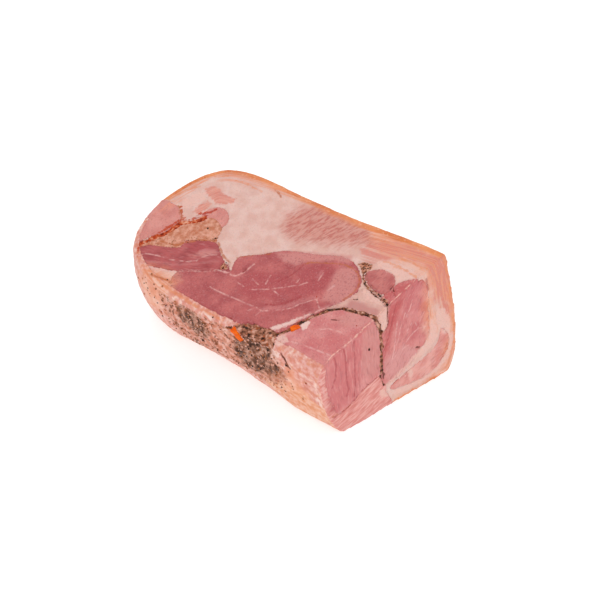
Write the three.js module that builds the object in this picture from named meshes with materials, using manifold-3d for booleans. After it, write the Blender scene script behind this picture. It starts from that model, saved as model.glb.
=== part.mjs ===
// Pork roulade: a chunk cut from a rolled, pressed and cooked pork joint.
// Millimetres, +Z up, resting on its flat underside.
// +X points to the cut end, -Y is the near long side and +Y the far long side with the rind.
import * as THREE from 'three';
import { mergeVertices } from 'three/addons/utils/BufferGeometryUtils.js';
import Module from 'manifold-3d';

const wasm = await Module();
wasm.setup();

// The gap that every piece keeps to its neighbours.
const GAP = 0.3;

// Where cutting outlines that run right through the joint start and stop, clear of it on all sides.
const LEFT = -120;
const RIGHT = 140;
const NEAR = -90;
const ABOVE = 110;
const THROUGH = 100;

// The sliced top: its height over the middle line, and its rise from the near side to the far side.
const TOP_MID = 62.2;
const TOP_SLOPE = 0.3676;

// The cut end: its distance along X at the origin, its skew across Y and its lean with height.
const END_X = 78.6;
const END_SKEW = 0.1168;
const END_LEAN = 0.0527;

// How the rolled joint is rounded: the roll of its top rim, the share of the wall's height
// that stays upright, and the squareness of the curve from the foot out to the belly.
const RIM_ROLL = 4.0;
const WALL_UPRIGHT = 0.4;
const FOOT_POWER = 1.6;

// Steps along the loft: between two stations, and up each part of the wall.
const STATION_STEPS = 5;
const FOOT_STEPS = 6;
const WALL_STEPS = 4;
const RIM_STEPS = 3;

// Stations round the joint, seen from above. Each has its foot on the table, its belly, which is
// the widest place of the wall and has a height, and its brim, where the wall meets the sliced top.
// They run round the left end from the far side to the near side. The first three and the last two
// lie past the cut end, which trims them away.
const STATIONS = [
  { foot: [134, 15], belly: [134, 18, 21.5], brim: [134, 18] },
  { foot: [110, 41.5], belly: [110, 47, 16.5], brim: [110, 37] },
  { foot: [73.5, 43], belly: [73.5, 48.2, 16.5], brim: [73.5, 39.2] },
  { foot: [41.5, 39], belly: [41.5, 45.5, 18.5], brim: [41.5, 37] },
  { foot: [1.5, 35], belly: [1.5, 43, 21.5], brim: [1.5, 33.8] },
  { foot: [-36.5, 32], belly: [-41.5, 41, 25.5], brim: [-37.5, 32.7] },
  { foot: [-59.5, 23], belly: [-69, 31, 29.5], brim: [-64, 27.3] },
  { foot: [-68.5, 9], belly: [-81, 12, 31.5], brim: [-77, 10] },
  { foot: [-71.5, -11], belly: [-83.5, -13.5, 31.5], brim: [-82.5, -13] },
  { foot: [-62.5, -24], belly: [-74.5, -35, 33.5], brim: [-73.5, -36.5] },
  { foot: [-41.5, -30], belly: [-50.5, -47.5, 35.5], brim: [-48.5, -48] },
  { foot: [-11.5, -25.5], belly: [-16.5, -49.5, 37.5], brim: [-16.5, -50] },
  { foot: [17.5, -27.2], belly: [15.5, -47.5, 37.5], brim: [15.5, -48.5] },
  { foot: [47.5, -31.8], belly: [45.5, -45.5, 38.5], brim: [45.5, -44] },
  { foot: [73.5, -30], belly: [73.5, -45, 39.5], brim: [73.5, -43] },
  { foot: [110, -28], belly: [110, -41, 39.5], brim: [110, -39] },
  { foot: [134, -9], belly: [134, -12, 39.5], brim: [134, -12] },
];
const MIDDLE = [5.5, -3];

// Crags of the spice crust: their height, and the waves that make them by crossing one another,
// each with its length and the direction that it runs in, in degrees.
const CRAG_HEIGHT = 0.9;
const CRAG_WAVES = [{ length: 13.1, turn: 12 }, { length: 9.7, turn: 74 }, { length: 7.9, turn: 131 }];

// The near side's wrap is a thin belly layer: its thickness, and the profile of its inner face
// across Y and Z, which rises from the near edge to the seam.
const NEAR_THICKNESS = 3.5;
const NEAR_FLOOR = 6;
const NEAR_INNER = [
  [-70, 9], [-36.6, 12.5], [-22.5, 16.2], [-18.4, 19.8], [-13.9, 21.5], [-8.9, 23], [-4.8, 23.2], [20, 24],
  [20, 95], [-70, 95],
];
// Where the near wrap ends against the far one: across Y and Z, and then seen from above.
const NEAR_REACH = [
  [-80, -5], [3.2, -5], [3.2, 0], [1.8, 3.5], [-1.7, 10.7], [-1.4, 13.8], [-3.6, 17], [-4.2, 22], [-4.2, 95], [-80, 95],
];
const NEAR_LENGTH = [[130, 20], [-30, 20], [-60, -12], [-105, -30], [-105, -80], [130, -80]];

// How far the seams drift towards +Y with depth under the sliced top: depth, drift.
const DRIFT = [[0, 0], [5, 1.8], [11, 3.6], [30, 3.8], [45, 4.4]];

// Outlines on the sliced top, seen from above. Where two pieces share a border, the later one in
// the cutting order reaches under the earlier one, which trims it.
const LEFT_STRIP = [
  [-31.8, -13.7], [-26.1, -17.1], [-20.3, -19.9], [-12.3, -22.7], [-17.6, -25.6], [-23.4, -29.5], [-32.8, -34.3],
  [-40.9, -38.4], [-52.2, -41.7], [-60.2, -46], [-68, -54], [-82, -52], [-80, -43], [-68.3, -37.1], [-64, -32.9],
  [-56.2, -29.8], [-47.2, -25.7], [-47.6, -20.7], [-40.7, -17],
];
const UPPER_LEFT = [
  [-71.5, -33], [-67, -27], [-63, -21], [-61.3, -14.5], [-62.5, -10.5], [-68.4, -6.8], [-73, -5.7], [-80.3, -6.5],
  [-90, -9], [-97, -22], [-88, -40], [-79, -42],
];
const SPICED_FAT = [
  [-84, -50], [-70, -38.5], [-60, -33], [-50, -28], [-40, -22], [-31, -16], [-33.8, -10.5], [-35.5, -5.5], [-44, -2.3],
  [-50.5, -5.5], [-56, -10.5], [-61, -18], [-67, -29], [-78, -42],
];
const LARGE_MUSCLE = [
  [-32.7, -46], [-37, -41], [-35, -34.5], [-26.8, -29.5], [-16.7, -24.5], [-11, -23], [-12.8, -20], [-13.6, -14],
  [-5.4, -8.1], [5.2, 0.5], [21.5, 6.5], [33.9, 11.9], [43.7, 11.6], [50.1, 8.1], [53.8, 4.7], [55.3, 0.7],
  [55.1, -3.5], [52.6, -9.7], [48.5, -15.7], [45.6, -23.5], [43.4, -29], [40.9, -35.1], [36.8, -40.2], [33, -48],
  [13.6, -54], [-8.7, -55], [-24, -53],
];
const CORNER_MUSCLE = [
  [34, -46], [40.9, -35.1], [43.4, -29], [48.7, -18.6], [55.9, -11.9], [66, -9.2], [76, -8.1], [100, -8],
  [100, -60], [60, -60],
];
const FAT_WEDGE = [
  [45.3, -24.5], [48, -16], [52, -10], [55, -3], [56.2, 2], [58.5, 5.2], [62.6, 4.1], [67.9, 3.3], [74.4, 1.2],
  [90, 1.5], [90, -8], [74.9, -8.2], [62, -10.5], [51.2, -15.5],
];
const LIGHT_MUSCLE = [
  [-53, -3], [-49.5, 3.4], [-44.5, 5], [-40, 3.6], [-36.1, -0.3], [-36.4, -5.5], [-34.5, -11], [-40, -13], [-46, -9],
];
const OVAL_MUSCLE = [
  [51.9, 9.8], [53.8, 13], [58.8, 16.4], [64.8, 16.3], [68.1, 13.9], [69.9, 9.5], [68.2, 5.2], [61.1, 5.3], [55.7, 7.1],
];
const END_MUSCLE = [[69.5, -12], [69.5, 4], [70.3, 11], [73, 16.6], [78, 21], [84, 38], [115, 38], [115, -12]];
// The end muscle's outline on the cut end, across Y and Z, and how its back leans inwards with depth.
const END_MUSCLE_FACE = [
  [1.8, 68], [10, 72], [19.8, 71], [25.4, 65], [27.6, 59], [28, 50], [28.7, 40], [28, 31], [22, 25], [17, 20.5],
  [7.7, 16.1], [-1.3, 15.7], [-9, 20], [-10, 47], [-4, 50.5], [0.6, 56],
];
const END_MUSCLE_LEAN = -0.35;

// Seams: the middle line of each on the sliced top and its thickness.
const SPICE_SEAM = [
  [31.8, -44.3], [36.8, -40.2], [40.9, -35.1], [43.4, -29], [45.1, -25], [48.7, -18.6], [51.2, -15.5], [55.9, -11.9],
  [61.9, -10.5], [66, -9.2], [69.5, -8.6], [72.7, -7.9], [76, -8.1], [90, -8],
];
const SPICE_SEAM_THICKNESS = 1.6;
const PAPRIKA_SEAM = [
  [-84, -49], [-76, -41.5], [-69.8, -34.9], [-65.7, -29], [-61.7, -22.3], [-59.7, -16.7], [-58.1, -12.9], [-54.6, -10.2],
  [-51.1, -6.8], [-49, -3.7],
];
const PAPRIKA_SEAM_THICKNESS = 2.4;

// The lean layer inside the far wrap's fat: its outline on the cut end, across Y and Z, where
// along X it stops inside, and how thick the fat and rind over it are.
const LEAN_LAYER = [
  [37.5, 31.5], [42, 25.5], [43.6, 18.5], [40.6, 11.8], [34, 7.2], [24, 5.4], [11.5, 7.6], [3.4, 9.4], [1.2, 12],
  [5.5, 13.4], [15.5, 15.6], [28.6, 18.8], [35.4, 23], [36.8, 27.5],
];
const LEAN_LAYER_START = -30;
const LEAN_LAYER_COVER = 4.5;

// The spice crust on the near side: its outline across X and Z, and how deep it goes into Y.
const SPICE_CRUST = [
  [-36, 36.5], [-28, 39.5], [-12.7, 39.8], [-2, 39.5], [6, 41], [12.6, 43.5], [18, 46], [24, 46.9], [31, 47.2],
  [38.5, 47.1], [40.2, 42.5], [39.5, 37], [43.8, 34.4], [47.3, 30.5], [46.1, 24.5], [37, 20], [26.3, 17.5], [18, 18.5], [10, 22.5],
  [-3, 20], [-12, 16], [-20, 17.5], [-28.5, 25.5],
];
const CRUST_INNER_Y = -36;
// Floor of the spice seams, which end over the wrap's bottom.
const SEAM_FLOOR = 19;

// Carrot batons, lying in the crust and in the seam: middle, length, thickness, turn and tilt.
const CARROTS = [
  { name: 'carrot_baton_side', at: [17.2, -46.9, 41.2], size: [7.2, 2.6, 2.4], turn: 6, tilt: 31 },
  { name: 'carrot_baton_seam', at: [43.1, -31.5, 49.3], size: [4.6, 2.4, 2.6], turn: 62, tilt: -4 },
];

const topZ = (y) => TOP_MID + TOP_SLOPE * y;

// Values between the rows of a table of [at, value].
function along(table, at) {
  const last = table.length - 1;
  if (at <= table[0][0]) return table[0][1];
  if (at >= table[last][0]) return table[last][1];
  const i = table.findIndex((row) => row[0] > at);
  const [a, va] = table[i - 1];
  const [b, vb] = table[i];
  return THREE.MathUtils.mapLinear(at, a, b, va, vb);
}

// Closed mesh to solid and back.
function solid(geometry) {
  const bare = geometry.clone();
  bare.deleteAttribute('normal');
  bare.deleteAttribute('uv');
  const merged = mergeVertices(bare, 1e-4);
  return new wasm.Manifold(new wasm.Mesh({
    numProp: 3,
    vertProperties: new Float32Array(merged.attributes.position.array),
    triVerts: new Uint32Array(merged.index.array),
  }));
}

function toGeometry(body) {
  const mesh = body.getMesh();
  const geometry = new THREE.BufferGeometry();
  geometry.setAttribute('position', new THREE.BufferAttribute(new Float32Array(mesh.vertProperties), 3));
  geometry.setIndex(new THREE.BufferAttribute(new Uint32Array(mesh.triVerts), 1));
  geometry.computeVertexNormals();
  return geometry;
}

// Smooth closed curve through a ring of points, with an even number of steps between two of them.
function smoothRing(points, steps) {
  const ring = points.map(([x, y, z = 0]) => new THREE.Vector3(x, y, z));
  const curve = new THREE.CatmullRomCurve3(ring, true, 'catmullrom', 0.5);
  return curve.getPoints(points.length * steps).slice(0, -1);
}

// A ring of flat points moved outwards by a distance.
function grow(ring, distance) {
  const area = THREE.ShapeUtils.area(ring);
  const side = Math.sign(area);
  return ring.map((p, i) => {
    const before = ring[(i + ring.length - 1) % ring.length];
    const after = ring[(i + 1) % ring.length];
    const tangent = new THREE.Vector2(after.x - before.x, after.y - before.y).normalize();
    return new THREE.Vector2(p.x + side * tangent.y * distance, p.y - side * tangent.x * distance);
  });
}

// The rolled joint as a loft: rings from the foot over the belly to the rolled rim.
// inset moves the whole wall inwards, floor lifts the foot, rise lifts the top out of the way,
// and bump(point) moves a point of the wall outwards.
function joint({ inset = 0, floor = 0, rise = 0, steps = STATION_STEPS, fine = 1, bump = null } = {}) {
  const ringOf = (key) => {
    const ring = smoothRing(STATIONS.map((station) => station[key]), steps);
    const moved = grow(ring, -inset);
    return ring.map((p, i) => new THREE.Vector3(moved[i].x, moved[i].y, p.z));
  };
  const foot = ringOf('foot');
  const belly = ringOf('belly');
  const brim = ringOf('brim');
  const middle = new THREE.Vector3(MIDDLE[0], MIDDLE[1], 0);
  foot.forEach((p) => { p.z = floor; });
  brim.forEach((p) => { p.z = topZ(p.y) + rise; });
  const knee = belly.map((p, i) => p.clone().setZ(p.z + WALL_UPRIGHT * (brim[i].z - p.z)));
  const rollEnd = brim.map((p) => {
    const inward = middle.clone().setZ(0).sub(p.clone().setZ(0)).normalize().multiplyScalar(RIM_ROLL);
    const q = p.clone().add(inward);
    return q.setZ(topZ(q.y) + rise);
  });
  const bend = (a, b, c, t) => new THREE.QuadraticBezierCurve3(a, b, c).getPoint(t);
  const rings = [];
  for (let k = 0; k <= FOOT_STEPS * fine; k += 1) {
    const lift = 1 - Math.cos((k / (FOOT_STEPS * fine)) * Math.PI / 2);
    const out = (1 - (1 - lift) ** FOOT_POWER) ** (1 / FOOT_POWER);
    rings.push(foot.map((p, i) => new THREE.Vector3(
      THREE.MathUtils.lerp(p.x, belly[i].x, out),
      THREE.MathUtils.lerp(p.y, belly[i].y, out),
      THREE.MathUtils.lerp(p.z, belly[i].z, lift),
    )));
  }
  const rollStart = belly.map((p, i) => {
    const reach = Math.max(brim[i].distanceTo(knee[i]), 0.6 * RIM_ROLL);
    return 1 - 0.5 * RIM_ROLL / reach;
  });
  for (let k = 1; k <= WALL_STEPS * fine; k += 1) {
    rings.push(belly.map((p, i) => bend(p, knee[i], brim[i], rollStart[i] * k / (WALL_STEPS * fine))));
  }
  const shoulder = rings[rings.length - 1];
  for (let k = 1; k <= RIM_STEPS * fine; k += 1) {
    rings.push(shoulder.map((p, i) => bend(p, brim[i], rollEnd[i], k / (RIM_STEPS * fine))));
  }
  if (bump) {
    rings.slice(1, -1).forEach((ring) => ring.forEach((p) => {
      const out = p.clone().sub(middle).setZ(0).normalize().multiplyScalar(bump(p));
      p.add(out);
    }));
  }
  const around = foot.length;
  const positions = rings.flat().flatMap((p) => [p.x, p.y, p.z]);
  const index = [];
  for (let r = 0; r < rings.length - 1; r += 1) {
    for (let i = 0; i < around; i += 1) {
      const a = r * around + i;
      const b = r * around + (i + 1) % around;
      index.push(a, b, b + around, a, b + around, a + around);
    }
  }
  const capOf = (ring) => THREE.ShapeUtils.triangulateShape(ring.map((p) => new THREE.Vector2(p.x, p.y)), []);
  const lastRing = (rings.length - 1) * around;
  capOf(rings[0]).forEach(([a, b, c]) => index.push(a, c, b));
  capOf(rings[rings.length - 1]).forEach(([a, b, c]) => index.push(lastRing + a, lastRing + b, lastRing + c));
  const geometry = new THREE.BufferGeometry();
  geometry.setAttribute('position', new THREE.Float32BufferAttribute(positions, 3));
  geometry.setIndex(index);
  return solid(geometry);
}

// A flat outline drawn out into a block: ExtrudeGeometry, with its walls split at each step.
function drawOut(ring, depth, steps = 1) {
  const shape = new THREE.Shape(ring.map((p) => new THREE.Vector2(p.x, p.y)));
  return new THREE.ExtrudeGeometry(shape, { depth, steps, bevelEnabled: false, curveSegments: 1 });
}

// A column under an outline of the sliced top. It follows the top's slope, drifts with the seams
// where asked, and leans in X and narrows about a pivot with depth.
const COLUMN_RISE = 8;
const COLUMN_STEP = 9;
function column(ring, { depth, drift = 0, lean = 0, narrow = 1, pivot = [0, 0] }) {
  const length = depth + COLUMN_RISE;
  const geometry = drawOut(ring, length, Math.ceil(length / COLUMN_STEP));
  const place = geometry.attributes.position;
  for (let i = 0; i < place.count; i += 1) {
    const x = place.getX(i);
    const y = place.getY(i);
    const down = depth - place.getZ(i);
    const under = Math.max(down, 0);
    const scale = THREE.MathUtils.lerp(1, narrow, under / depth);
    const newX = pivot[0] + (x - pivot[0]) * scale + lean * under;
    const newY = pivot[1] + (y - pivot[1]) * scale + drift * along(DRIFT, under);
    place.setXYZ(i, newX, newY, topZ(y) - down);
  }
  return solid(geometry);
}

// A block behind an outline across Y and Z, along X.
function lengthways(ring, from, to) {
  const geometry = drawOut(ring, to - from);
  const place = geometry.attributes.position;
  for (let i = 0; i < place.count; i += 1) {
    place.setXYZ(i, from + place.getZ(i), place.getX(i), place.getY(i));
  }
  return solid(geometry);
}

// A block behind an outline across X and Z, from the near side to a depth in Y.
function crossways(ring, from, to) {
  const geometry = drawOut(ring, to - from).rotateX(Math.PI / 2).translate(0, to, 0);
  return solid(geometry);
}

const flat = (points) => points.map(([x, y]) => new THREE.Vector2(x, y));
const curved = (points, steps = 3) => smoothRing(points, steps).map((p) => new THREE.Vector2(p.x, p.y));

// A ribbon round a middle line, with square ends.
function ribbon(points, thickness, steps = 2) {
  const line = new THREE.CatmullRomCurve3(points.map(([x, y]) => new THREE.Vector3(x, y, 0)), false, 'catmullrom', 0.5);
  const count = (points.length - 1) * steps;
  const left = [];
  const right = [];
  for (let i = 0; i <= count; i += 1) {
    const p = line.getPoint(i / count);
    const t = line.getTangent(i / count);
    left.push(new THREE.Vector2(p.x - t.y * thickness / 2, p.y + t.x * thickness / 2));
    right.unshift(new THREE.Vector2(p.x + t.y * thickness / 2, p.y - t.x * thickness / 2));
  }
  return right.concat(left);
}

// Everything before the cut end.
function beforeEnd() {
  const ring = flat([[-THROUGH, -THROUGH], [0, -THROUGH], [0, THROUGH], [-THROUGH, THROUGH]]);
  const geometry = drawOut(ring, 2 * THROUGH).translate(0, 0, -THROUGH);
  const place = geometry.attributes.position;
  for (let i = 0; i < place.count; i += 1) {
    const y = place.getY(i);
    const z = place.getZ(i);
    if (place.getX(i) === 0) place.setX(i, END_X + END_SKEW * y - END_LEAN * z);
  }
  return solid(geometry);
}

const whole = joint().intersect(beforeEnd());

// How far the spice crust's crags stand out of the joint's smooth wall at a point, or back from it.
function crags(p) {
  const heights = CRAG_WAVES.map(({ length, turn }) => {
    const radians = THREE.MathUtils.degToRad(turn);
    const across = p.x * Math.cos(radians) + p.z * Math.sin(radians);
    return Math.sin((2 * Math.PI * across) / length);
  });
  return (CRAG_HEIGHT * heights.reduce((sum, height) => sum + height)) / CRAG_WAVES.length;
}

const CRUST_STEPS = 10;
const CRUST_FINE = 2;
const craggyWhole = joint({ steps: CRUST_STEPS, fine: CRUST_FINE, bump: crags }).intersect(beforeEnd());

// The space inside the near wrap.
const nearSpace = (spare) => joint({ inset: NEAR_THICKNESS + spare, floor: NEAR_FLOOR, rise: COLUMN_RISE })
  .intersect(lengthways(grow(flat(NEAR_INNER), -spare), LEFT, RIGHT));

function nearWrap(spare) {
  const reach = lengthways(grow(flat(NEAR_REACH), spare), LEFT, RIGHT);
  const length = column(grow(flat(NEAR_LENGTH), spare), { depth: THROUGH });
  return reach.intersect(length).subtract(nearSpace(spare));
}

function spice(spare) {
  const crust = crossways(grow(curved(SPICE_CRUST, 2), spare), NEAR, CRUST_INNER_Y + spare);
  const floor = SEAM_FLOOR - spare;
  const overFloor = flat([[NEAR, floor], [-NEAR, floor], [-NEAR, ABOVE], [NEAR, ABOVE]]);
  const seam = column(grow(ribbon(SPICE_SEAM, SPICE_SEAM_THICKNESS), spare), { depth: THROUGH, drift: 1 })
    .intersect(nearSpace(GAP - spare))
    .intersect(lengthways(overFloor, LEFT, RIGHT));
  return crust.add(seam);
}

function carrot({ at, size, turn, tilt }, spare) {
  const [length, width, height] = size;
  const geometry = new THREE.BoxGeometry(length + 2 * spare, width + 2 * spare, height + 2 * spare);
  geometry.rotateY(THREE.MathUtils.degToRad(tilt));
  geometry.rotateZ(THREE.MathUtils.degToRad(turn));
  geometry.translate(...at);
  return solid(geometry);
}

// The pieces in cutting order, the looks of each, and the cutter for each at a given spare width.
const PIECES = [
  ...CARROTS.map((baton) => ({ name: baton.name, color: 0xf27a1c, cutter: (s) => carrot(baton, s) })),
  { name: 'spice_filling', color: 0x6f5844, cutter: spice, from: craggyWhole },
  { name: 'near_belly_wrap', color: 0xe0a795, cutter: nearWrap },
  {
    name: 'paprika_seam',
    color: 0xb0401c,
    cutter: (s) => column(grow(ribbon(PAPRIKA_SEAM, PAPRIKA_SEAM_THICKNESS), s), { depth: 16 + s }),
  },
  {
    name: 'left_strip_muscle',
    color: 0xb4646a,
    cutter: (s) => column(grow(curved(LEFT_STRIP, 2), s), { depth: 24 + s, drift: 0.5 }),
  },
  {
    name: 'upper_left_muscle',
    color: 0xd99c9a,
    cutter: (s) => column(grow(curved(UPPER_LEFT, 2), s), { depth: 26 + s }),
  },
  {
    name: 'spiced_fat_layer',
    color: 0xd69a78,
    cutter: (s) => column(grow(curved(SPICED_FAT, 2), s), { depth: 18 + s }),
  },
  {
    name: 'large_muscle',
    color: 0xb8686c,
    cutter: (s) => column(grow(curved(LARGE_MUSCLE, 2), s), { depth: 34 + s, drift: 1, narrow: 0.86, pivot: [12, -12] }),
  },
  {
    name: 'corner_muscle',
    color: 0xcc7c80,
    cutter: (s) => column(grow(curved(CORNER_MUSCLE, 2), s), { depth: THROUGH, drift: 1 })
      .intersect(nearSpace(-s)),
  },
  {
    name: 'fat_wedge',
    color: 0xe6c4b8,
    cutter: (s) => column(grow(curved(FAT_WEDGE, 2), s), { depth: 13 + s, drift: 0.7, narrow: 0.3, pivot: [66, -5.6] }),
  },
  {
    name: 'light_muscle',
    color: 0xe0a39c,
    cutter: (s) => column(grow(curved(LIGHT_MUSCLE, 2), s), { depth: 12 + s }),
  },
  {
    name: 'oval_muscle',
    color: 0xc2757a,
    cutter: (s) => column(grow(curved(OVAL_MUSCLE, 3), s), { depth: 22 + s, drift: 0.3, narrow: 0.8, pivot: [61, 10] }),
  },
  {
    name: 'end_muscle',
    color: 0xd08486,
    cutter: (s) => column(grow(curved(END_MUSCLE, 2), s), { depth: THROUGH, lean: END_MUSCLE_LEAN })
      .intersect(lengthways(grow(curved(END_MUSCLE_FACE, 2), s), LEFT, RIGHT)),
  },
  {
    name: 'far_lean_layer',
    color: 0xcf8a84,
    cutter: (s) => lengthways(grow(curved(LEAN_LAYER, 2), s), LEAN_LAYER_START - s, RIGHT)
      .intersect(joint({ inset: LEAN_LAYER_COVER - s })),
  },
];

const roulade = new THREE.Group();

function addPiece(name, color, body) {
  const material = new THREE.MeshStandardMaterial({ color, roughness: 0.5, metalness: 0 });
  const mesh = new THREE.Mesh(toGeometry(body), material);
  mesh.name = name;
  roulade.add(mesh);
}

const taken = [];
for (const { name, color, cutter, from = whole } of PIECES) {
  let piece = from.intersect(cutter(0));
  for (const other of taken) piece = piece.subtract(other);
  addPiece(name, color, piece);
  taken.push(cutter(GAP));
}

// What is left of the joint is the far belly wrap, with the fat cap and the rind.
let rest = whole;
for (const other of taken) rest = rest.subtract(other);
addPiece('far_belly_wrap', 0xe2b9a6, rest);

// The origin lies under the middle of the whole piece.
const middleOfBox = new THREE.Box3().setFromObject(roulade).getCenter(new THREE.Vector3());
roulade.children.forEach((mesh) => mesh.geometry.translate(-middleOfBox.x, -middleOfBox.y, 0));

export default roulade;
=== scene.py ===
# %% [markdown]
# # A chunk of pork roulade
#
# For a roulade, several pork muscles are laid on a belly with its rind, spread with a spice and carrot
# filling, rolled, pressed flat in a mould and cooked. This chunk was sliced on top and at one end, so
# its inside shows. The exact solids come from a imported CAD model, and everything later is grown from
# them, so each piece of meat stays where it belongs.

# %% Load the frame
import math

import bpy
import numpy as np
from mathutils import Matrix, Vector


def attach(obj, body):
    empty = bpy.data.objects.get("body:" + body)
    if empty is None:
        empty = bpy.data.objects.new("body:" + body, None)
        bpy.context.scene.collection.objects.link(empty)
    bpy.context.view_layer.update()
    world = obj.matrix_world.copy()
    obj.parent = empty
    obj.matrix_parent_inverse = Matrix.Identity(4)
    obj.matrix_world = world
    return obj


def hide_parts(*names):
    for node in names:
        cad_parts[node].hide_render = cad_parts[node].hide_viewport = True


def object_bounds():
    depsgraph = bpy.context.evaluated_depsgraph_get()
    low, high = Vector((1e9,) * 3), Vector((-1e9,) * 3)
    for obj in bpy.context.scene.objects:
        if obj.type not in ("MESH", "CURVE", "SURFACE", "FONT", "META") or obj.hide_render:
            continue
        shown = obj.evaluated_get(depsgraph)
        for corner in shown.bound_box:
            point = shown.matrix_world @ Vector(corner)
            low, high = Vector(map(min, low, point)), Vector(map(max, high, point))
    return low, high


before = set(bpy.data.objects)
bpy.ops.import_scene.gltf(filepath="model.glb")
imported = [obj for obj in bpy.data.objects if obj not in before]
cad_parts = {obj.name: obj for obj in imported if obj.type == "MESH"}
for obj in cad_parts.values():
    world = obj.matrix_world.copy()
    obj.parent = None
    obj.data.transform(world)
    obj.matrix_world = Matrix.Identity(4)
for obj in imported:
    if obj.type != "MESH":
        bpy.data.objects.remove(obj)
cad_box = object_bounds()
print("pieces in the frame:", len(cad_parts))

# %% [markdown]
# ## Camera
#
# The photograph was taken from the front right, well above the table, with a long lens. A camera looks
# along its own -Z, so it is enough to say what it looks at, from which direction and from how far, and
# to let `to_track_quat` turn it.

# %% Camera
MM = 0.001


def show(name, data):
    """A new object of the scene with its data."""
    made = bpy.data.objects.new(name, data)
    bpy.context.scene.collection.objects.link(made)
    return made


camera = show("camera", bpy.data.cameras.new("camera"))
camera.data.lens = 85
camera.data.clip_start = 0.01
azimuth = math.radians(43)
elevation = math.radians(37)
towards = Vector((
    math.sin(azimuth) * math.cos(elevation),
    -math.cos(azimuth) * math.cos(elevation),
    math.sin(elevation),
))
look_at = Vector((13.6, 3.6, 33.5)) * MM
camera.location = look_at + towards * 0.75
camera.rotation_mode = "QUATERNION"
camera.rotation_quaternion = (-towards).to_track_quat("-Z", "Y")
bpy.context.scene.camera = camera
print("camera at", [round(v, 3) for v in camera.location])

# %% [markdown]
# ## Table and light
#
# The meat lies on a bright, pale table, as in a product photograph. Soft light comes from three things:
# a white world, which lights every side alike, a table that glows a little, and two wide area lamps,
# which make the moist surface shine. The standard view keeps colours as they are, so a colour measured
# on the real thing can be typed in.

# %% Table and light
WHITE = (1, 1, 1, 1)
SHADER = "Principled BSDF"


def set_sockets(node, values):
    """Sets the sockets of a node to fixed values."""
    for socket, value in values.items():
        node.inputs[socket].default_value = value


floor_mesh = bpy.data.meshes.new("table")
half = 1.6
floor_corners = [(-half, -half, 0), (half, -half, 0), (half, half, 0), (-half, half, 0)]
floor_mesh.from_pydata(floor_corners, [], [(0, 1, 2, 3)])
table = show("table", floor_mesh)
table_paint = bpy.data.materials.new("table")
table_paint.use_nodes = True
set_sockets(table_paint.node_tree.nodes[SHADER], {
    "Base Color": (0.55, 0.55, 0.55, 1), "Roughness": 0.9,
    "Emission Color": WHITE, "Emission Strength": 0.6})
floor_mesh.materials.append(table_paint)

world = bpy.data.worlds.new("studio")
world.use_nodes = True
set_sockets(world.node_tree.nodes["Background"], {"Color": WHITE, "Strength": 0.8})
bpy.context.scene.world = world
bpy.context.scene.view_settings.view_transform = "Standard"


def soft_lamp(name, place, size, watts):
    """A square lamp of a size in metres that faces the meat."""
    lamp = show(name, bpy.data.lights.new(name, "AREA"))
    lamp.data.size = size
    lamp.data.energy = watts
    lamp.location = place
    lamp.rotation_mode = "QUATERNION"
    lamp.rotation_quaternion = (look_at - Vector(place)).to_track_quat("-Z", "Y")


soft_lamp("key lamp", (0.7, -0.8, 1.2), 0.9, 6)
soft_lamp("back lamp", (-0.9, 0.9, 1.3), 1.0, 5)

# %% [markdown]
# ## The two cuts
#
# The knife left two flat faces: the sliced top, which climbs to the rind side, and the cut end. Both
# planes are known from the CAD model, so a vein drawn as a flat line can be lifted onto its cut. All
# drawing below is in millimetres, because that is how one measures a piece of meat.

# %% The two cuts
TOP_MID = 61.95
TOP_SLOPE = 0.3676
END_MID = 78.54
END_SKEW = 0.1167
END_LEAN = 0.0527
top_normal = np.array([0, -TOP_SLOPE, 1]) / math.hypot(TOP_SLOPE, 1)
end_normal = np.array([1, -END_SKEW, END_LEAN])
end_normal = end_normal / np.linalg.norm(end_normal)


def on_top(line):
    """Points x, y, x, y of the sliced top, lifted onto it."""
    x, y = np.reshape(line, (-1, 2)).T
    return np.stack([x, y, TOP_MID + TOP_SLOPE * y], axis=1)


def on_end(line):
    """Points y, z, y, z of the cut end, set onto it."""
    y, z = np.reshape(line, (-1, 2)).T
    return np.stack([END_MID + END_SKEW * y - END_LEAN * z, y, z], axis=1)


def on_side(line):
    """Points x, y, z, x, y, z of the near side."""
    return np.reshape(line, (-1, 3))


def off_top(p):
    """How far points lie over the sliced top."""
    return (p - (0, 0, TOP_MID)) @ top_normal


def off_end(p):
    """How far points lie beyond the cut end."""
    return (p - (END_MID, 0, 0)) @ end_normal


print("the top climbs", round(math.degrees(math.atan(TOP_SLOPE)), 1), "degrees")

# %% [markdown]
# ## Lumps and distances
#
# Meat is never quite flat or even. `lumps` gives smooth random values with a chosen size, from numbers
# at the corners of a grid of cubes, blended between them. The two distance functions say how far each
# point is from a drawn line or from the border of a drawn patch. A distance makes sharper edges than
# painted corners would, because it changes evenly from one corner of the mesh to the next.

# %% Lumps and distances
def lumps(p, size, seed=0):
    """Smooth random values from about -1 to 1, with lumps of a size in millimetres."""
    grid = p / size + 1000
    cell = np.floor(grid).astype(np.int64)
    part = grid - cell
    ease = part * part * (3 - 2 * part)
    total = np.zeros(len(p))
    for corner in np.ndindex(2, 2, 2):
        key = (cell + corner) @ np.array([73856093, 19349663, 83492791]) + seed * 7919
        key = (key ^ (key >> 13)) * 1274126177
        value = ((key ^ (key >> 16)) & 0xFFFF) / 32767.5 - 1
        total += value * np.prod(np.where(corner, ease, 1 - ease), axis=1)
    return total


def to_line(p, line):
    """Distance from points to a line of straight stretches."""
    near = np.full(len(p), 99.0)
    for a, b in zip(line[:-1], line[1:]):
        along = b - a
        t = np.clip((p - a) @ along / (along @ along), 0, 1)
        near = np.minimum(near, np.linalg.norm(p - a - t[:, None] * along, axis=1))
    return near


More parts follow.
